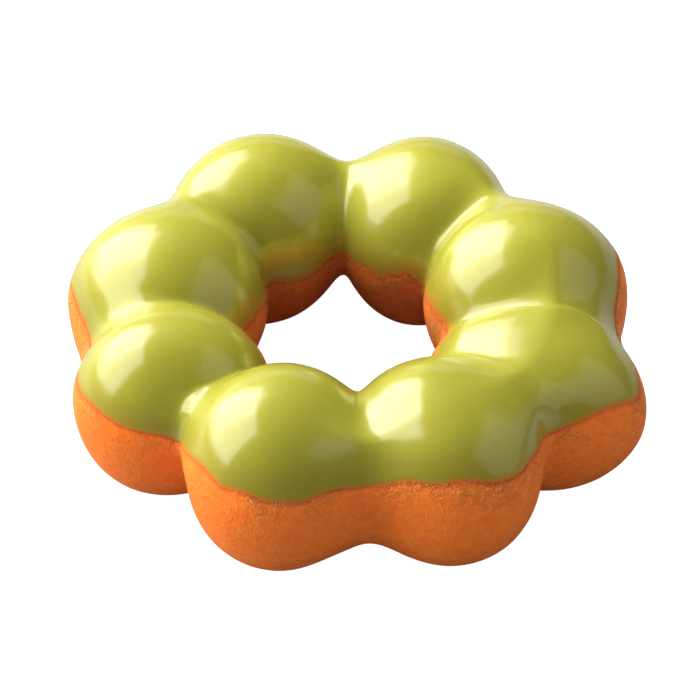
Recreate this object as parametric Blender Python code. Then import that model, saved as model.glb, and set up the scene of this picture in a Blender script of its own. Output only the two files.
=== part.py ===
"""Ring doughnut of eight joined dough balls, with tea icing over its upper half.

The ring lies on a table with its icing up. Each ball is an ellipsoid that has
settled a little into the table, and neighbours run into one another with a soft
join. The icing is a thin shell that follows the dough, from an edge on the outer
side, over the top, to an edge inside the hole.

Mesh units are metres and +Z is up. The constants below are in millimetres.
"""

import bmesh
import bpy
import numpy as np

MM = 0.001

# The ring
RING_RADIUS = 31.0          # from the middle of the hole to the middle of the dough
SETTLED = 1.4               # depth of each ball that has gone flat on the table
HEIGHT = 31.4               # mean height of the balls before they settled
MIDDLE_HEIGHT = HEIGHT / 2 - SETTLED

# Each ball: angle round the ring in degrees, distance from the middle of the hole,
# then its three half sizes, towards the hole, along the ring and upright
BALLS = (
    (17.3, 30.8, 15.8, 13.9, 16.5),
    (65.6, 31.9, 14.3, 13.2, 15.6),
    (114.4, 32.7, 13.3, 14.9, 16.2),
    (159.1, 30.6, 15.2, 14.9, 16.0),
    (200.9, 29.4, 15.1, 13.3, 15.1),
    (249.1, 28.8, 15.3, 14.4, 15.7),
    (299.5, 29.9, 16.4, 14.4, 15.2),
    (339.8, 31.6, 17.2, 13.1, 13.9),
)

# Each join, between a ball and the next one: how sharp its crease is at the
# sides and on top, per millimetre; a high value is a sharp crease
JOINS = (
    (0.29, 0.29),
    (0.32, 0.35),
    (0.42, 0.42),
    (0.24, 0.72),
    (1.30, 0.59),
    (0.27, 0.27),
    (0.67, 0.30),
    (0.25, 0.75),
)
HOLE_SHARPER = 2.8          # creases are this much sharper again inside the hole

# The icing
ICING_GAP = 0.3             # kept free between the dough and the icing
ICING_LIP = 0.8             # top of the rounded lip above the dough
ICING_TOP = 1.2             # top of the icing above the dough
ICING_SOFTER = 0.85         # icing fills the creases a little

# The icing's edge at each join and each ball in turn, every 22.5 degrees from
# angle 0: degrees up the tube on the outer side, then on the side of the hole
ICING_EDGE = (
    (28, 162), (30, 156), (35, 167), (28, 164),
    (38, 160), (29, 164), (35, 166), (22, 163),
    (24, 164), (21, 162), (42, 166), (32, 163),
    (43, 166), (31, 163), (32, 166), (18, 163),
)

# Mesh fineness
SECTIONS = 96               # round the ring
TOP_ROWS = 13               # across the icing, edge to edge
UNDER_ROWS = 11             # round the bare dough, between the icing's edges
SEARCH_STEPS = 22           # halvings of the search for the surface
SEARCH_REACH = 24.0         # farthest that the surface lies from the ring's middle

DOUGH_COLOUR = (0.62, 0.22, 0.045, 1.0)
ICING_COLOUR = (0.47, 0.45, 0.045, 1.0)


def ease(t):
    """Rises from 0 to 1 without a corner at either end."""
    t = np.clip(t, 0.0, 1.0)
    return t * t * (3 - 2 * t)


def ball_distance(points, ball):
    """Distance of the points from one ball's skin, negative inside."""
    angle, away, radial, along, upright = ball
    turn = np.radians(angle)
    x = points[..., 0] - away * np.cos(turn)
    y = points[..., 1] - away * np.sin(turn)
    z = points[..., 2] - (upright - SETTLED)
    local = np.stack([x * np.cos(turn) + y * np.sin(turn), y * np.cos(turn) - x * np.sin(turn), z])
    half = np.array([radial, along, upright]).reshape((3,) + (1,) * x.ndim)
    scaled = np.sqrt(((local / half) ** 2).sum(axis=0)) + 1e-9
    steep = np.sqrt(((local / half ** 2) ** 2).sum(axis=0)) + 1e-9
    return scaled * (scaled - 1) / steep


def crease_sharpness(points):
    """Sharpness of the join nearest to each point, by its place round, in and up."""
    place = np.arctan2(points[..., 1], points[..., 0]) / (2 * np.pi) * len(JOINS) - 1
    before = np.floor(place).astype(int)
    share = ease(place - before)
    side, top = np.array(JOINS).T
    count = len(JOINS)
    low = side[before % count] * (1 - share) + side[(before + 1) % count] * share
    ratio = top / side
    rise = ratio[before % count] * (1 - share) + ratio[(before + 1) % count] * share
    out = np.hypot(points[..., 0], points[..., 1])
    inward = ease((RING_RADIUS + 3 - out) / 15.4)
    high = ease((points[..., 2] - 0.4 * HEIGHT) / (0.4 * HEIGHT))
    return low * (1 + HOLE_SHARPER * inward) * (1 + (rise - 1) * high)


def dough_distance(points, softer):
    """Distance from the eight balls joined by a soft minimum."""
    each = np.stack([ball_distance(points, ball) for ball in BALLS])
    nearest = each.min(axis=0)
    sharp = softer * crease_sharpness(points)
    return nearest - np.log(np.exp(-sharp * (each - nearest)).sum(axis=0)) / sharp


def skin(around, tube, height, softer=1.0):
    """Points at a height above the dough, sought along rays from the ring's middle.

    around is the angle round the ring; tube is the angle round the dough, 0 on
    the outer side, 90 degrees on top and 180 in the hole. All in radians.
    """
    middle = np.stack([RING_RADIUS * np.cos(around), RING_RADIUS * np.sin(around),
                       MIDDLE_HEIGHT + 0 * around], axis=-1)
    ray = np.stack([np.cos(tube) * np.cos(around), np.cos(tube) * np.sin(around),
                    np.sin(tube)], axis=-1)
    near = np.zeros(around.shape)
    far = np.full(around.shape, SEARCH_REACH)
    for _ in range(SEARCH_STEPS):
        half = (near + far) / 2
        inside = dough_distance(middle + ray * half[..., None], softer) < height
        near = np.where(inside, half, near)
        far = np.where(inside, far, half)
    return middle + ray * half[..., None]


def icing_edges(around):
    """Tube angles of the icing's two edges, eased between the stated places."""
    table = np.radians(np.array(ICING_EDGE))
    place = np.degrees(around) / 22.5
    before = np.floor(place).astype(int)
    share = ease(place - before)[..., None]
    count = len(table)
    both = table[before % count] * (1 - share) + table[(before + 1) % count] * share
    return both[..., 0], both[..., 1]


def closed_ring(name, rows, material):
    """Object from a grid of points closed both round the ring and round the section."""
    mesh = bpy.data.meshes.new(name)
    shape = bmesh.new()
    grid = [[shape.verts.new(point) for point in section] for section in (rows * MM).tolist()]
    sections = len(grid)
    across = len(grid[0])
    for i in range(sections):
        for j in range(across):
            here = grid[i]
            following = grid[(i + 1) % sections]
            shape.faces.new((here[j], following[j], following[(j + 1) % across], here[(j + 1) % across]))
    shape.normal_update()
    shape.to_mesh(mesh)
    shape.free()
    mesh.shade_smooth()
    mesh.materials.append(material)
    thing = bpy.data.objects.new(name, mesh)
    bpy.context.scene.collection.objects.link(thing)
    return thing


def surface_material(name, colour, roughness):
    """Plain Principled BSDF."""
    material = bpy.data.materials.new(name)
    material.use_nodes = True
    shader = material.node_tree.nodes["Principled BSDF"]
    shader.inputs["Base Color"].default_value = colour
    shader.inputs["Roughness"].default_value = roughness
    shader.inputs["Metallic"].default_value = 0.0
    return material


def main():
    for thing in list(bpy.data.objects):
        bpy.data.objects.remove(thing, do_unlink=True)

    turn = np.linspace(0, 2 * np.pi, SECTIONS, endpoint=False)
    outer_edge, hole_edge = icing_edges(turn)

    # Upper rows run from the icing's outer edge to its edge in the hole
    share = np.linspace(0, 1, TOP_ROWS)
    upper = outer_edge[:, None] + (hole_edge - outer_edge)[:, None] * share
    # Lower rows go on under the ring and back to the outer edge
    share = np.linspace(0, 1, UNDER_ROWS + 2)[1:-1]
    lower = hole_edge[:, None] + (outer_edge + 2 * np.pi - hole_edge)[:, None] * share

    tube = np.concatenate([upper, lower], axis=1)
    around = np.repeat(turn[:, None], tube.shape[1], axis=1)
    dough = skin(around, tube, 0.0)
    # The table flattens whatever has settled below it
    dough[..., 2] = np.maximum(dough[..., 2], 0.0)

    # The icing's shell: its upper face one way, its under face back again
    around = np.repeat(turn[:, None], TOP_ROWS, axis=1)
    over = np.full(upper.shape, ICING_TOP)
    over[:, 0] = ICING_LIP
    over[:, -1] = ICING_LIP
    upper_face = skin(around, upper, over, ICING_SOFTER)
    under_face = skin(around, upper, ICING_GAP)
    icing = np.concatenate([upper_face, under_face[:, ::-1]], axis=1)

    # Stand the middle of the whole doughnut over the origin
    every = np.concatenate([dough.reshape(-1, 3), icing.reshape(-1, 3)])
    middle = (every.min(axis=0) + every.max(axis=0)) / 2
    middle[2] = 0.0

    root = bpy.data.objects.new("doughnut", None)
    bpy.context.scene.collection.objects.link(root)
    for name, rows, colour, roughness in (
        ("dough", dough - middle, DOUGH_COLOUR, 0.6),
        ("icing", icing - middle, ICING_COLOUR, 0.2),
    ):
        material = surface_material(name + "_material", colour, roughness)
        piece = closed_ring(name, rows, material)
        piece.parent = root
    print("middle of the box from the ring's middle, mm:", np.round(middle, 3).tolist())
    print("size, mm:", np.round(every.max(axis=0) - every.min(axis=0), 2).tolist())


main()
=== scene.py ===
# %% [markdown]
# # A ring doughnut of eight joined balls, half covered with green tea icing
#
# The real thing is made from eight small balls of chewy dough set in a ring. In the
# hot oil they swell and grow into one another. When the ring has cooled it is dipped
# upside down in warm icing, which sets as a smooth glossy skin over the upper half.
#
# This lesson builds both pieces as surfaces worked out with numpy. First come the
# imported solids, which say how big everything is and where it stands.

import bpy
import numpy as np
from mathutils import Matrix, Vector


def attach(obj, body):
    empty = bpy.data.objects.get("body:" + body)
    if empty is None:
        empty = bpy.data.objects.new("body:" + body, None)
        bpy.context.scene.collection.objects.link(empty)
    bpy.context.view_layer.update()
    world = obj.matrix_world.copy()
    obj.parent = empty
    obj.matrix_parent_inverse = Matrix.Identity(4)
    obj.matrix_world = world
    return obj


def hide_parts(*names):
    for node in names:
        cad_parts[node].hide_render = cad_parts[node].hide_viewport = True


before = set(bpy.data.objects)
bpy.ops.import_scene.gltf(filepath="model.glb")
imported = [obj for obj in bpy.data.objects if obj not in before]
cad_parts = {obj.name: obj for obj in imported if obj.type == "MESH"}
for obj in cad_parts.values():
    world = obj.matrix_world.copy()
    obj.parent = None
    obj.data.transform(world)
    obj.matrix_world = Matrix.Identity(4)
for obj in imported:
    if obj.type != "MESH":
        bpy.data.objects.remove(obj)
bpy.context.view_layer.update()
MM = 0.001
print("solids:", sorted(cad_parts))

# %% [markdown]
# ## Measures of the ring
#
# A ball that presses on its neighbours and on the table is close to an ellipsoid. Each
# one has its own angle round the ring, its own distance from the middle of the hole and
# three half sizes, because dough set down by hand is never quite even. All measures are
# in millimetres until a mesh is made.

# %% The eight balls
# from the middle of the hole to the dough's middle line, and the dough's mean half size
RING_RADIUS = 31.0
TUBE_RADIUS = 15.0
# depth of each ball that has gone flat on the table, and about how tall it was before that
SETTLED = 1.4
HEIGHT = 31.4
MIDDLE_HEIGHT = HEIGHT / 2 - SETTLED
# the doughnut's box isn't quite centred on the hole; this point goes over the origin
BOX_MIDDLE = np.array([1.186, 0.591, 0.0])

# angle in degrees, distance out, then half sizes towards the hole, along the ring, upright
BALLS = np.array([
    (17.3, 30.8, 15.8, 13.9, 16.5),
    (65.6, 31.9, 14.3, 13.2, 15.6),
    (114.4, 32.7, 13.3, 14.9, 16.2),
    (159.1, 30.6, 15.2, 14.9, 16.0),
    (200.9, 29.4, 15.1, 13.3, 15.1),
    (249.1, 28.8, 15.3, 14.4, 15.7),
    (299.5, 29.9, 16.4, 14.4, 15.2),
    (339.8, 31.6, 17.2, 13.1, 13.9),
])
# sharpness of the crease after each ball, at the sides and on top, per millimetre
JOINS = np.array([
    (0.29, 0.29), (0.32, 0.35), (0.42, 0.42), (0.24, 0.72),
    (1.30, 0.59), (0.27, 0.30), (0.67, 0.30), (0.25, 0.33),
])
# the creases grow sharper by this factor into the hole, starting HOLE_SIDE outside the
# middle line and over HOLE_DEPTH, both in mm; on top they change from NEAR_TOP of HEIGHT up
HOLE_SHARPER = 2.8
HOLE_SIDE = 3.0
HOLE_DEPTH = 15.4
NEAR_TOP = 0.4
print("balls:", len(BALLS), "mean half sizes, mm:", BALLS[:, 2:].mean(axis=0).round(1).tolist())


# %% [markdown]
# ## From eight balls to one ring
#
# Where two soft balls meet, the skin doesn't turn a hard corner: it runs over in a
# fillet. A soft minimum of the eight distances does just that. A high sharpness gives
# the pinched creases inside the hole, and a low one the wide saddles on top.

# %% Distances
TINY = 1e-9


def ease(t):
    """3 t squared minus 2 t cubed, with t held between 0 and 1: a rise without corners."""
    t = np.clip(t, 0.0, 1.0)
    return t * t * (3 - 2 * t)


def ball_distances(points):
    """For each ball, k (k - 1) / s: k is the distance from its middle in ball sizes, s k's slope."""
    turn = np.radians(BALLS[:, 0])
    each = []
    for (_, out, *half), c, s in zip(BALLS, np.cos(turn), np.sin(turn)):
        x = points[..., 0] - out * c
        y = points[..., 1] - out * s
        z = points[..., 2] - (half[2] - SETTLED)
        local = (x * c + y * s, y * c - x * s, z)
        k = np.sqrt(sum((q / h) ** 2 for q, h in zip(local, half))) + TINY
        slope = np.sqrt(sum((q / h ** 2) ** 2 for q, h in zip(local, half))) + TINY
        each.append(k * (k - 1) / slope)
    return np.stack(each)


def crease_sharpness(points):
    """The joins' sharpness eased round the ring, raised inside the hole and near the top."""
    count = len(JOINS)
    place = np.arctan2(points[..., 1], points[..., 0]) / (2 * np.pi) * count - 1
    before = np.floor(place).astype(int)
    after = (before + 1) % count
    before = before % count
    share = ease(place - np.floor(place))
    side = JOINS[before, 0] * (1 - share) + JOINS[after, 0] * share
    ratio = JOINS[:, 1] / JOINS[:, 0]
    rise = ratio[before] * (1 - share) + ratio[after] * share
    out = np.hypot(points[..., 0], points[..., 1])
    inward = ease((RING_RADIUS + HOLE_SIDE - out) / HOLE_DEPTH)
    high = ease((points[..., 2] - NEAR_TOP * HEIGHT) / (NEAR_TOP * HEIGHT))
    return side * (1 + HOLE_SHARPER * inward) * (1 + (rise - 1) * high)


def dough_distance(points, softer=1.0):
    """Soft minimum: minus log(sum of exp(-sharpness x distance)), divided by the sharpness."""
    each = ball_distances(points)
    nearest = each.min(axis=0)
    sharp = softer * crease_sharpness(points)
    return nearest - np.log(np.exp(-sharp * (each - nearest)).sum(axis=0)) / sharp


deep_inside = np.array([[30.0, 9.0, 14.3]])
print("distance deep inside a ball, mm:", dough_distance(deep_inside).round(2))


# %% [markdown]
# ## Finding the skin
#
# Two angles name every point of a ring: one round the hole, and one round the dough,
# which is 0 on the outer side, 90 degrees on top and 180 in the hole. Along each such
# ray from the ring's middle line the distance is halved down to the skin.

# %% The skin along rays
# the farthest that the skin lies from the middle line, in mm, and the number of halvings
SEARCH_REACH = 24.0
SEARCH_STEPS = 18


def rays(around, tube):
    """Start on the ring's middle line, and direction (cos tube outwards, sin tube upwards)."""
    c, s = np.cos(around), np.sin(around)
    start = np.stack([RING_RADIUS * c, RING_RADIUS * s, MIDDLE_HEIGHT + 0 * c], axis=-1)
    way = np.stack([np.cos(tube) * c, np.cos(tube) * s, np.sin(tube)], axis=-1)
    return start, way


def skin(around, tube, height=0.0, softer=1.0):
    """Point of each ray where dough_distance equals height, by halving SEARCH_REACH."""
    start, way = rays(around, tube)
    near = np.zeros(around.shape)
    far = np.full(around.shape, SEARCH_REACH)
    for _ in range(SEARCH_STEPS):
        half = (near + far) / 2
        inside = dough_distance(start + way * half[..., None], softer) < height
        near = np.where(inside, half, near)
        far = np.where(inside, far, half)
    return start + way * half[..., None]


probe = skin(np.radians(BALLS[:1, 0]), np.zeros(1))
print("outer side of the first ball, mm:", probe.round(2).tolist())


# %% [markdown]
# ## Unevenness
#
# Nothing baked is perfectly smooth. Random numbers on the corners of little cubes,
# eased between the corners, give a soft bumpiness of any size that never changes
# from one run to the next.

# %% Soft noise
# any numbers without a common measure do; these spread the corners' values well
NOISE_STEPS = np.array([12.9898, 78.233, 37.719])
NOISE_SEED_STEP = 3.7
NOISE_STRETCH = 43758.5453


def soft_noise(points, size, seed):
    """Corner values from -1 to 1 of cubes of this size, from a fixed sine rule, eased between."""
    cell = points / size
    base = np.floor(cell)
    share = ease(cell - base)
    total = 0.0
    for corner in np.ndindex(2, 2, 2):
        number = np.sin((base + corner) @ NOISE_STEPS + seed * NOISE_SEED_STEP) * NOISE_STRETCH
        weight = np.where(np.array(corner) == 1, share, 1 - share).prod(axis=-1)
        total = total + weight * (2 * (number - np.floor(number)) - 1)
    return total


three = np.array([[1.0, 2.0, 3.0], [4.0, 5.0, 6.5], [7.2, 8.0, 9.0]])
print("noise, three samples:", soft_noise(three, 3.0, 1).round(2))


# %% [markdown]
# ## Where the icing ends
#
# The ring was dipped a little more than a third of its depth. The edge runs nearly
# level on each ball and climbs into each join, because the dough is narrower there.
# It is stated as a tube angle at each join, each ball and wherever it turns, with a
# small waver.

# %% The icing's edge
# angle round the ring, then degrees up the tube from the outer side
OUTER_EDGE = np.array([
    (9, 34), (22, 30), (45, 35), (68, 28), (90, 38), (112, 29), (135, 35), (158, 20), (173, 29),
    (187, 25), (200, 27), (211, 30), (226, 43), (234, 42), (245, 34), (256, 31), (271, 43),
    (279, 44), (292, 37), (302, 28), (318, 31), (330, 24), (341, 14), (354, 20),
], float)
# angle round the ring, then degrees round the tube to the edge in the hole
HOLE_EDGE = np.array([
    (22, 161), (37, 165), (46, 171), (54, 163), (68, 170), (83, 168), (91, 166), (112, 176),
    (127, 171), (135, 172), (158, 164), (180, 164), (202, 162), (225, 166), (247, 163),
    (270, 166), (292, 163), (315, 166), (337, 163), (360, 160),
], float)
# height in degrees, waves round the ring and shift in radians of the edge's two wavers
WAVERS = ((0.5, 23, 1.0), (0.4, 41, 0.0))


def eased_table(degrees_round, table):
    """Value of the last entry passed and of the next one, shared out with ease."""
    place = (degrees_round - table[0, 0]) % 360
    starts = table[:, 0] - table[0, 0]
    before = np.searchsorted(starts, place, side="right") - 1
    after = (before + 1) % len(table)
    gap = (table[after, 0] - table[before, 0]) % 360
    share = ease((place - starts[before]) / gap)
    return table[before, 1] * (1 - share) + table[after, 1] * share


def icing_edges(around):
    """Both edges in radians: the eased tables plus height x sin(waves x around + shift)."""
    degrees = np.degrees(around)
    waver = sum(height * np.sin(waves * around + shift) for height, waves, shift in WAVERS)
    outer = eased_table(degrees, OUTER_EDGE) + waver
    hole = eased_table(degrees, HOLE_EDGE) - waver
    return np.radians(outer), np.radians(hole)


sample = icing_edges(np.radians(np.array([270.0])))
print("edges at angle 270, degrees:", np.degrees(sample).round(1).ravel().tolist())


# %% [markdown]
# ## A grid becomes a mesh
#
# Both pieces are rings in two ways: closed round the hole and closed round their own
# section. One helper turns such a grid of points into a mesh of four-sided faces, all
# facing outwards, and can carry a number for each point for the material to read.

# %% Ring-shaped meshes
def closed_ring(name, rows, carried=None):
    """Face (i, j) joins points (i, j), (i+1, j), (i+1, j+1), (i, j+1), counted round and round."""
    sections, across = rows.shape[:2]
    i = np.repeat(np.arange(sections), across)
    j = np.tile(np.arange(across), sections)
    following, beside = (i + 1) % sections, (j + 1) % across
    faces = np.stack([i * across + j, following * across + j,
                      following * across + beside, i * across + beside], axis=1)
    mesh = bpy.data.meshes.new(name)
    mesh.vertices.add(sections * across)
    mesh.vertices.foreach_set("co", (rows * MM).astype(np.float32).ravel())
    mesh.loops.add(faces.size)
    mesh.loops.foreach_set("vertex_index", faces.astype(np.int32).ravel())
    mesh.polygons.add(len(faces))
    mesh.polygons.foreach_set("loop_start", np.arange(0, faces.size, 4, dtype=np.int32))
    mesh.update(calc_edges=True)
    for label, values in (carried or {}).items():
        layer = mesh.attributes.new(label, "FLOAT", "POINT")
        layer.data.foreach_set("value", values.astype(np.float32).ravel())
    mesh.shade_smooth()
    thing = bpy.data.objects.new(name, mesh)
    bpy.context.scene.collection.objects.link(thing)
    spans = np.ptp(rows.reshape(-1, 3), axis=0)
    print(name, "has", len(faces), "faces, box in mm:", spans.round(1).tolist())
    return thing


SECTIONS = 500
turn = np.linspace(0, 2 * np.pi, SECTIONS, endpoint=False)
outer_edge, hole_edge = icing_edges(turn)
print("sections round the ring:", SECTIONS)

# %% [markdown]
# ## The dough
#
# Rows of points run over the top, under the icing, and on round the bare lower half,
# where they lie closer together. Where the icing ends, the dough is as high as the
# icing, so the edge has no step: wet icing has soaked the crumb there and made it
# swell. The skin is a little uneven from frying, and puckered just below the icing, more
# so on the outer side than in the hole. The balls have settled on the table, so whatever
# would lie below it is pressed flat with a rounded rim.

# %% The dough's grid
HIDDEN_ROWS = 34
BARE_ROWS = 150
share = np.linspace(0, 1, HIDDEN_ROWS)
hidden = outer_edge[:, None] + (hole_edge - outer_edge)[:, None] * share
share = np.linspace(0, 1, BARE_ROWS + 2)[1:-1]
bare = hole_edge[:, None] + (outer_edge + 2 * np.pi - hole_edge)[:, None] * share
tube = np.concatenate([hidden, bare], axis=1)
around = np.repeat(turn[:, None], tube.shape[1], axis=1)
print("dough grid:", around.shape)


# %% The swollen shoulder
# height in mm at the icing's edge, then the reach below the edge and the reach under the icing
SWELL = 1.15
SWELL_BELOW = 8.0
SWELL_UNDER_ICING = 2.0


def from_edge(tube_angle, edge_a, edge_b):
    """Rough arc length in mm from the nearer of the icing's edges: angle times TUBE_RADIUS."""
    a = np.abs(tube_angle - edge_a[:, None])
    b = np.abs(tube_angle - edge_b[:, None])
    return TUBE_RADIUS * np.minimum(a, np.minimum(b, np.abs(2 * np.pi - a)))


def swelling(distance, reach):
    """SWELL times a bell curve, the exponential of minus (distance over reach) squared."""
    return SWELL * np.exp(-(distance / reach) ** 2)


below_edge = from_edge(tube, outer_edge, hole_edge)
reach = np.full(tube.shape[1], SWELL_BELOW)
reach[:HIDDEN_ROWS] = SWELL_UNDER_ICING
dough_rows = skin(around, tube, swelling(below_edge, reach))
print("dough is raised by up to", swelling(below_edge, reach).max().round(2), "mm")

# %% Puckered skin
# degrees round the tube where the dough in the hole starts to turn under, and the fade
HOLE_UNDER = 195.0
HOLE_FADE = 35.0
# height and size in mm of the broad unevenness, of the finer one and of the puckers
BROAD, BROAD_SIZE = 0.07, 7.0
FINER, FINER_SIZE = 0.025, 2.2
PUCKER, PUCKER_SIZE = 0.09, 1.3
# reach in mm below the icing, share lost in the hole and the power that narrows the furrows
PUCKER_REACH = 2.6
PUCKER_LOST_IN_HOLE = 0.8
PUCKER_PINCH = 3
in_hole = 1 - ease((np.degrees(tube) - HOLE_UNDER) / HOLE_FADE)
pucker = np.exp(-(below_edge / PUCKER_REACH) ** 2) * (1 - PUCKER_LOST_IN_HOLE * in_hole)
furrow = (1 - np.abs(soft_noise(dough_rows, PUCKER_SIZE, 3))) ** PUCKER_PINCH
relief = BROAD * soft_noise(dough_rows, BROAD_SIZE, 1)
relief = relief + FINER * soft_noise(dough_rows, FINER_SIZE, 2) - PUCKER * pucker * furrow
relief[:, :HIDDEN_ROWS] = 0.0
start, way = rays(around, tube)
dough_rows = dough_rows + way * relief[..., None]
print("relief from", relief.min().round(3), "to", relief.max().round(3), "mm")

# %% Settled on the table
# half the sum of z and the root of (z squared plus this squared) is never below the table
RIM_ROUND = 0.3
z = dough_rows[..., 2]
dough_rows[..., 2] = (z + np.sqrt(z * z + RIM_ROUND ** 2)) / 2
# from_icing feeds the wrinkles and the painted edge shadow; in_hole feeds the painted shade in the
# hole
carried = {"from_icing": below_edge, "in_hole": in_hole}
dough = closed_ring("dough_skin", dough_rows - BOX_MIDDLE, carried)
print("lowest point, mm:", dough_rows[..., 2].min().round(3))

# %% [markdown]
# ## The icing
#
# Icing that has run and set is a film at its edge and about a millimetre thick on top.
# Its surface goes on from the dough's, with a bead so faint that only the change of
# colour shows. It fills the creases a little, so its soft minimum is softer than the
# dough's. The under face dips just below the dough's skin, so no light shows between.
#
# While it was wet it pooled in three of the joins and left a low mound on three of the
# balls. Along five joins one ball's icing lapped over its neighbour's as a low fold.

# %% The icing's thickness
# top of the icing above the dough, how far its edge dips into the swollen dough, the
# bead's height and width, and the width over which the icing thins out, all in mm
ICING_TOP = 1.2
EDGE_DIP = 0.05
EDGE_BEAD = 0.05
BEAD_WIDTH = 1.2
RUN_OUT = 9.0
OVER_ROWS = 150
# share of the rows' spacing that is even; the rest crowds the rows towards both edges
EVEN_SHARE = 0.55


def icing_height(from_lip):
    """SWELL less EDGE_DIP, plus EDGE_BEAD eased over BEAD_WIDTH, plus the rest over RUN_OUT."""
    start = SWELL - EDGE_DIP
    rise = ICING_TOP - start - EDGE_BEAD
    return start + EDGE_BEAD * ease(from_lip / BEAD_WIDTH) + rise * ease(from_lip / RUN_OUT)


share = np.linspace(0, 1, OVER_ROWS)
share = EVEN_SHARE * share + (1 - EVEN_SHARE) * (1 - np.cos(np.pi * share)) / 2
over = outer_edge[:, None] + (hole_edge - outer_edge)[:, None] * share
around = np.repeat(turn[:, None], OVER_ROWS, axis=1)
lip_distance = from_edge(over, outer_edge, hole_edge)
height = icing_height(lip_distance)
print("icing height from", height.min().round(2), "to", height.max().round(2), "mm")

# %% Pools and mounds of icing
# angle round and tube angle of either end in degrees, then reach and depth in mm; the
# first three lie in joins, the others on balls
POOLS = np.array([
    (136, 75, 136, 112, 6.0, 0.9),
    (44, 55, 44, 106, 7.0, 1.1),
    (321, 44, 321, 118, 5.0, 0.7),
    (289, 108, 293, 106, 5.0, 0.7),
    (199, 76, 202, 76, 5.0, 0.5),
    (240, 84, 243, 84, 5.0, 0.4),
])
POOL_AWAY = 16.0


def pooled(points):
    """Sum over the pools of depth times the exponential of minus (distance over reach) squared.

    The distance is from a straight line between the pool's two ends, POOL_AWAY from the
    ring's middle line.
    """
    total = 0.0
    for round_a, tube_a, round_b, tube_b, reach_mm, depth in POOLS:
        start, way = rays(np.radians([round_a, round_b]), np.radians([tube_a, tube_b]))
        first, last = start + POOL_AWAY * way
        along = last - first
        share = np.clip((points - first) @ along / (along @ along), 0, 1)
        apart = np.linalg.norm(points - first - share[..., None] * along, axis=-1)
        total = total + depth * np.exp(-(apart / reach_mm) ** 2)
    return total


print("pools:", len(POOLS))

# %% Folds where one ball's icing laps over its neighbour's
# angles round the ring at the fold's first and last tube angle, these two tube angles, the
# side to which it falls gently (1 towards greater angles round) and its height in mm
FOLDS = np.array([
    (353.0, 348.5, 30, 152, -1, 0.60),
    (221.5, 222.8, 60, 116, 1, 0.35),
    (131.2, 129.5, 116, 160, 1, 0.25),
    (45.0, 48.0, 120, 146, -1, 0.18),
    (90.0, 90.8, 110, 155, 1, 0.20),
])
# widths in mm of the steep and of the gentle side
FOLD_RISE = 1.2
FOLD_FALL = 4.5
# degrees over which either end fades, then the line's waver in degrees and how many
# waves it has in a full turn of the tube
FOLD_ENDS = 14.0
FOLD_WAVER = 0.7
FOLD_WAVES = 7


def folded(around, tube_angle):
    """Sum over the folds of height x ends x ease(distance / FOLD_RISE + 1/2) x bell.

    The distance is from the fold's line, positive on its gentle side, where the bell is
    the exponential of minus (distance over FOLD_FALL) squared. The line goes from one
    angle round to the other with a sine's waver, and ends are eased over FOLD_ENDS.
    """
    total = 0.0
    degrees, tube_degrees = np.degrees(around), np.degrees(tube_angle)
    for round_first, round_last, first, last, side, tall in FOLDS:
        share = np.clip((tube_degrees - first) / (last - first), 0, 1)
        line = round_first + (round_last - round_first) * share
        line = line + FOLD_WAVER * np.sin(FOLD_WAVES * tube_angle)
        turned = (degrees - line + 180) % 360 - 180
        apart = side * np.radians(turned) * (RING_RADIUS + TUBE_RADIUS * np.cos(tube_angle))
        ends = ease((tube_degrees - first) / FOLD_ENDS) * ease((last - tube_degrees) / FOLD_ENDS)
        fall = np.exp(-(np.maximum(apart, 0) / FOLD_FALL) ** 2)
        total = total + tall * ends * ease(apart / FOLD_RISE + 0.5) * fall
    return total


print("folds:", len(FOLDS))

# %% The icing's upper face
# share of the dough's sharpness that the icing's creases keep where it is thick
ICING_SOFTER = 0.85
# pools and folds fade out this near the edge; height and size of the ripples; all in mm
EXTRA_FADE = 4.0
RIPPLE = 0.03
RIPPLE_SIZE = 6.0
softer = 1 - (1 - ICING_SOFTER) * ease(lip_distance / RUN_OUT)
top_face = skin(around, over, height, softer)
start, way = rays(around, over)
extra = (pooled(top_face) + folded(around, over)) * ease(lip_distance / EXTRA_FADE)
extra = extra + RIPPLE * soft_noise(top_face, RIPPLE_SIZE, 5)
top_face = top_face + way * extra[..., None]
print("pools, folds and ripples add up to", extra.max().round(2), "mm")

# %% The icing's under face
# depth in mm below the dough's skin
SUNK = 0.25
UNDER_ROWS = 26
share = np.linspace(1, 0, UNDER_ROWS)
under = outer_edge[:, None] + (hole_edge - outer_edge)[:, None] * share
around = np.repeat(turn[:, None], UNDER_ROWS, axis=1)
sunk = swelling(from_edge(under, outer_edge, hole_edge), SWELL_UNDER_ICING) - SUNK
under_face = skin(around, under, sunk)
icing_rows = np.concatenate([top_face, under_face], axis=1)
print("icing grid:", icing_rows.shape[:2])

# %% Where the icing is thin, and painted shade beside its edges
# width in mm of the film at the outer edge and at the edge in the hole, and of the band of
# painted shade beside both; then the film's strength in the hole, and its share against the shade
FILM_OUTER = 1.1
FILM_HOLE = 2.8
EDGE_SHADE_WIDTH = 7.0
FILM_HOLE_SHARE = 0.7
FILM_SHARE = 0.7
from_outer = TUBE_RADIUS * np.abs(over - outer_edge[:, None])
from_hole = TUBE_RADIUS * np.abs(over - hole_edge[:, None])
film_in_hole = FILM_HOLE_SHARE * (1 - ease(from_hole / FILM_HOLE))
film = np.maximum(1 - ease(from_outer / FILM_OUTER), film_in_hole)
# painted shade: darker, more olive icing within EDGE_SHADE_WIDTH of either edge, added to the film's
# share
edge_shade = 1 - ease(np.minimum(from_outer, from_hole) / EDGE_SHADE_WIDTH)
film_and_shade_above = FILM_SHARE * film + (1 - FILM_SHARE) * edge_shade
film_and_shade = np.concatenate([film_and_shade_above, np.ones(under.shape)], axis=1)
icing = closed_ring("icing_skin", icing_rows - BOX_MIDDLE, {"film_and_shade": film_and_shade})
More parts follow.
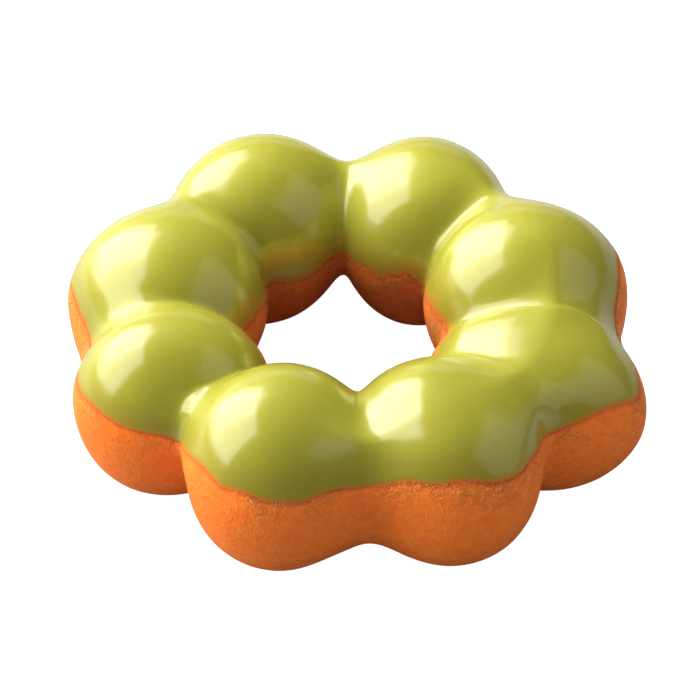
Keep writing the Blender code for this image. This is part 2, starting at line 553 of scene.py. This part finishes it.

# %% [markdown]
# ## Riding on the solids
#
# Each piece stands for its plain solid and moves with the doughnut's one body.

# %% Pieces and solids
for piece, node in ((dough, "dough"), (icing, "icing")):
    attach(piece, "root")
    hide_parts(node)
print("pieces:", dough.name, icing.name)


# %% [markdown]
# ## Finishes
#
# A short helper makes a material with a Principled shader and another adds and joins
# nodes, so that each finish below reads as a recipe.

# %% Material helpers
def finish_of(name, **sockets):
    """New Principled material; each keyword sets the shader socket of that name."""
    material = bpy.data.materials.new(name)
    material.use_nodes = True
    shader = material.node_tree.nodes["Principled BSDF"]
    for socket, value in sockets.items():
        shader.inputs[socket.replace("_", " ")].default_value = value
    return material, shader


def node(material, kind, inputs=None, **settings):
    """Adds a node, sets its settings, and fills or joins its inputs by name or number."""
    made = material.node_tree.nodes.new(kind)
    for key, value in settings.items():
        setattr(made, key, value)
    for key, value in (inputs or {}).items():
        if isinstance(value, bpy.types.NodeSocket):
            material.node_tree.links.new(value, made.inputs[key])
        else:
            made.inputs[key].default_value = value
    return made


def colour_steps(material, factor, steps):
    """Colour ramp that runs straight between its (place, colour) steps."""
    ramp = node(material, "ShaderNodeValToRGB", {"Fac": factor})
    points = ramp.color_ramp.elements
    while len(points) < len(steps):
        points.new(0.5)
    for point, (place, colour) in zip(points, steps):
        point.position = place
        point.color = (*colour, 1.0)
    return ramp.outputs["Color"]


print("material helpers ready")

# %% [markdown]
# ### Fried dough
#
# The skin is a warm golden orange with a fine mottle, satin rather than wet. Just under
# the icing, where the crumb took up moisture and dried again, there are patches of small
# worm shaped wrinkles whose crests are painted lighter as a painted highlight, and a narrow
# darker line along the icing's edge is painted shadow. The mesh carries the distance from
# the icing, so both can fade with it.
# Inside the hole the skin is painted a duller, darker brown as painted shade, and the mesh carries
# that share as well.

# %% Fried dough: mottle and wrinkles
fried, shader = finish_of("fried_dough", Roughness=0.5, Specular_IOR_Level=0.2,
                          Subsurface_Weight=0.1, Subsurface_Scale=0.002)
shader.inputs["Subsurface Radius"].default_value = (1.0, 0.45, 0.2)
place = node(fried, "ShaderNodeTexCoord").outputs["Object"]
mottle = node(fried, "ShaderNodeTexNoise", {"Vector": place, "Scale": 650.0, "Detail": 5.0,
                                            "Roughness": 0.7})
worm = node(fried, "ShaderNodeTexNoise", {"Vector": place, "Scale": 620.0, "Detail": 2.0,
                                          "Distortion": 1.6})
middle = node(fried, "ShaderNodeMath", {0: worm.outputs["Fac"], 1: 0.5}, operation="SUBTRACT")
valley = node(fried, "ShaderNodeMath", {0: middle.outputs[0]}, operation="ABSOLUTE")
crest = node(fried, "ShaderNodeMapRange", {"Value": valley.outputs[0], "From Min": 0.08,
                                           "From Max": 0.0}, interpolation_type="SMOOTHSTEP")
below = node(fried, "ShaderNodeAttribute", attribute_name="from_icing").outputs["Fac"]
near = node(fried, "ShaderNodeMapRange", {"Value": below, "From Min": 6.0, "From Max": 0.5,
                                          "To Min": 0.1, "To Max": 1.0},
            interpolation_type="SMOOTHSTEP")
patchy = node(fried, "ShaderNodeTexNoise", {"Vector": place, "Scale": 160.0, "Detail": 2.0})
some = node(fried, "ShaderNodeMapRange", {"Value": patchy.outputs["Fac"], "From Min": 0.44,
                                          "From Max": 0.60}, interpolation_type="SMOOTHSTEP")
here = node(fried, "ShaderNodeMath", {0: near.outputs[0], 1: some.outputs[0]},
            operation="MULTIPLY")
wrinkle = node(fried, "ShaderNodeMath", {0: crest.outputs[0], 1: here.outputs[0]},
               operation="MULTIPLY")
print("wrinkles fade to a tenth over 6 mm below the icing")

# %% Fried dough: colour
colour = colour_steps(fried, mottle.outputs["Fac"], [
    (0.28, (0.70, 0.140, 0.014)), (0.5, (0.77, 0.168, 0.019)), (0.72, (0.84, 0.198, 0.026)),
])
# painted highlight: a lighter, yellower orange mixed in on the wrinkle crests
crest_highlight = node(fried, "ShaderNodeMix", {"Factor": wrinkle.outputs[0], "A": colour,
                                        "B": (0.88, 0.27, 0.050, 1.0)}, data_type="RGBA")
# painted shadow: a darker, redder band within about 1 mm below the icing's edge, multiplied into the
# dough colour
beside = node(fried, "ShaderNodeMapRange", {"Value": below, "From Min": 1.0, "From Max": 0.1},
              interpolation_type="SMOOTHSTEP")
painted_edge_shadow = node(fried, "ShaderNodeMix", {"Factor": beside.outputs[0],
                                       "A": crest_highlight.outputs["Result"],
                                       "B": (0.80, 0.66, 0.72, 1.0)},
              data_type="RGBA", blend_type="MULTIPLY")
inside = node(fried, "ShaderNodeAttribute", attribute_name="in_hole").outputs["Fac"]
# painted shade: darker and less red inside the hole, by the in_hole share
painted_hole_shade = node(fried, "ShaderNodeMix", {"Factor": inside, "A": painted_edge_shadow.outputs["Result"],
                                       "B": (0.75, 0.90, 1.40, 1.0)},
              data_type="RGBA", blend_type="MULTIPLY")
fried.node_tree.links.new(painted_hole_shade.outputs["Result"], shader.inputs["Base Color"])
print("soaked line: 1 mm beside the icing")

# %% Fried dough: relief
fine = node(fried, "ShaderNodeTexNoise", {"Vector": place, "Scale": 1800.0, "Detail": 3.0,
                                          "Roughness": 0.6})
relief = node(fried, "ShaderNodeMath", {0: wrinkle.outputs[0], 1: fine.outputs["Fac"]},
              operation="ADD")
bump = node(fried, "ShaderNodeBump", {"Height": relief.outputs[0], "Strength": 0.9,
                                      "Distance": 0.00032})
fried.node_tree.links.new(bump.outputs["Normal"], shader.inputs["Normal"])
dough.data.materials.append(fried)
print("finish:", fried.name)

# %% [markdown]
# ### Green tea icing
#
# Opaque, smooth and glossy, a yellow green. A broad gloss of its own colour lies under a
# clear coat that mirrors the window. The coat fades towards the edges, and where the icing
# runs out to a film the dough's orange shows through, so the edge blends from olive to
# orange. In a wider band beside both edges the icing is also painted darker and more olive,
# as painted shade.

# %% Green tea icing
tea, shader = finish_of("tea_icing", Roughness=0.62, IOR=1.8, Specular_IOR_Level=0.6,
                        Coat_Roughness=0.16, Coat_IOR=1.85,
                        Subsurface_Weight=0.2, Subsurface_Scale=0.003)
shader.inputs["Specular Tint"].default_value = (0.95, 0.92, 0.12, 1.0)
shader.inputs["Subsurface Radius"].default_value = (1.0, 0.9, 0.3)
place = node(tea, "ShaderNodeTexCoord").outputs["Object"]
cloud = node(tea, "ShaderNodeTexNoise", {"Vector": place, "Scale": 90.0, "Detail": 3.0})
green = colour_steps(tea, cloud.outputs["Fac"], [
    (0.3, (0.255, 0.241, 0.0225)), (0.7, (0.280, 0.264, 0.027)),
])
film_and_shade_level = node(tea, "ShaderNodeAttribute", attribute_name="film_and_shade").outputs["Fac"]
# white where the icing is thick, painted shade (darker olive) at 0.3, and the dough's orange showing
# through the film above that
film_and_shade_tint = colour_steps(tea, film_and_shade_level, [
    (0.0, (1.0, 1.0, 1.0)), (0.3, (0.90, 0.78, 0.85)),
    (0.65, (1.2, 0.65, 0.7)), (1.0, (2.0, 0.42, 0.6)),
])
mixed = node(tea, "ShaderNodeMix", {"Factor": 1.0, "A": green, "B": film_and_shade_tint},
             data_type="RGBA", blend_type="MULTIPLY")
tea.node_tree.links.new(mixed.outputs["Result"], shader.inputs["Base Color"])
coat = node(tea, "ShaderNodeMapRange", {"Value": film_and_shade_level, "From Min": 0.12, "From Max": 0.6,
                                        "To Min": 1.0, "To Max": 0.0})
tea.node_tree.links.new(coat.outputs[0], shader.inputs["Coat Weight"])
icing.data.materials.append(tea)
print("finish:", tea.name)

# %% [markdown]
# ## The studio
#
# The floor is paper. The camera sees it as pure white, as in a picture that has been cut
# out, but it lights and is mirrored in the doughnut as a plain grey, so that the rims stay
# clear. A camera with a long lens looks down at the ring from about forty degrees.

# %% Floor
# half the floor's width in metres
FLOOR_HALF = 3.0
corner_signs = ((-1, -1), (1, -1), (1, 1), (-1, 1))
floor_corners = [(x * FLOOR_HALF, y * FLOOR_HALF, 0) for x, y in corner_signs]
floor_mesh = bpy.data.meshes.new("floor")
floor_mesh.from_pydata(floor_corners, [], [(0, 1, 2, 3)])
floor = bpy.data.objects.new("floor", floor_mesh)
bpy.context.scene.collection.objects.link(floor)
paper, shader = finish_of("white_paper", Roughness=0.9)
shader.inputs["Base Color"].default_value = (0.22, 0.22, 0.22, 1.0)
shader.inputs["Emission Color"].default_value = (1.0, 1.0, 1.0, 1.0)
seen = node(paper, "ShaderNodeLightPath").outputs["Is Camera Ray"]
paper.node_tree.links.new(seen, shader.inputs["Emission Strength"])
floor_mesh.materials.append(paper)
print("floor:", 2 * FLOOR_HALF, "m wide")


# %% Camera
def look(eye, target, roll_degrees=0.0):
    """World matrix whose -Z looks from eye to target, turned about its view by the roll."""
    turned = (Vector(target) - Vector(eye)).to_track_quat("-Z", "Y").to_matrix().to_4x4()
    return Matrix.Translation(eye) @ turned @ Matrix.Rotation(np.radians(roll_degrees), 4, "Z")


# angle above the table, metres from the ring, lens in mm, and a slight tilt in degrees
ELEVATION = np.radians(41.66)
DISTANCE = 0.595
LENS = 192.8
ROLL = -1.32
# the point that the camera looks at, in metres from the middle of the hole
LOOK_AT = (0.0005, 0.0002, 0.0152)
target = Vector(LOOK_AT) - Vector(BOX_MIDDLE * MM)
back = Vector((0.0, -np.cos(ELEVATION), np.sin(ELEVATION)))
camera_data = bpy.data.cameras.new("camera")
camera_data.lens = LENS
camera_data.sensor_width = 36.0
camera_data.clip_start = 0.01
camera = bpy.data.objects.new("camera", camera_data)
camera.matrix_world = look(target + back * DISTANCE, target, ROLL)
bpy.context.scene.collection.objects.link(camera)
bpy.context.scene.camera = camera
print("camera at, mm:", [round(v / MM) for v in camera.matrix_world.translation])


# %% [markdown]
# ## Light
#
# One big soft window behind and to the left makes the bright panels on every ball, and
# a smaller one called sky brightens its right part. Backdrop, behind, and fill, on the
# right, are so dim that they are mirrored as faint grey patches.
#
# The other four panels can't be seen in the icing and only shape the shade: card is low
# on the left, glow is close above the balls at the back left, wash is on the right and
# low is in front. A grey room does the rest, and isn't mirrored either.

# %% Lights
# the point that every panel faces, in metres
RING_MIDDLE = Vector((0.0, 0.0, 0.02))


def panel(name, azimuth, elevation, width, height, brightness, roll=0.0, mirrored=True, away=1.0):
    """Rectangle facing the ring from `away` metres; power is brightness times pi times area.

    Azimuth is counted in degrees from the right towards the back, elevation up from the
    table; width and height are in metres.
    """
    data = bpy.data.lights.new(name, "AREA")
    data.shape = "RECTANGLE"
    data.size, data.size_y = width, height
    data.energy = brightness * np.pi * width * height
    a, e = np.radians(azimuth), np.radians(elevation)
    spot = RING_MIDDLE + away * Vector((np.cos(a) * np.cos(e), np.sin(a) * np.cos(e), np.sin(e)))
    light = bpy.data.objects.new(name, data)
    light.matrix_world = look(spot, RING_MIDDLE, roll)
    light.visible_glossy = mirrored
    bpy.context.scene.collection.objects.link(light)


panel("window", 153, 37, 1.60, 1.08, 2.6, roll=24)
panel("sky", 138, 38, 0.75, 1.00, 1.9, roll=24)
panel("card", 178, 8, 0.8, 0.5, 11.0, mirrored=False)
panel("glow", 120, 50, 0.35, 0.25, 8.5, mirrored=False, away=0.35)
panel("backdrop", 97, 9, 1.1, 0.30, 0.4)
panel("fill", -8, 30, 1.0, 0.9, 0.4)
panel("wash", -8, 25, 1.0, 0.9, 0.9, mirrored=False)
panel("low", -102, 13, 0.8, 0.3, 2.7, mirrored=False)

# %% Room
ROOM = 0.3
room = bpy.data.worlds.new("room")
bpy.context.scene.world = room
room.use_nodes = True
room.node_tree.nodes["Background"].inputs["Color"].default_value = (1.0, 1.0, 1.0, 1.0)
room.node_tree.nodes["Background"].inputs["Strength"].default_value = ROOM
room.cycles_visibility.glossy = False
bpy.context.scene.view_settings.view_transform = "Standard"
print("room strength", ROOM)
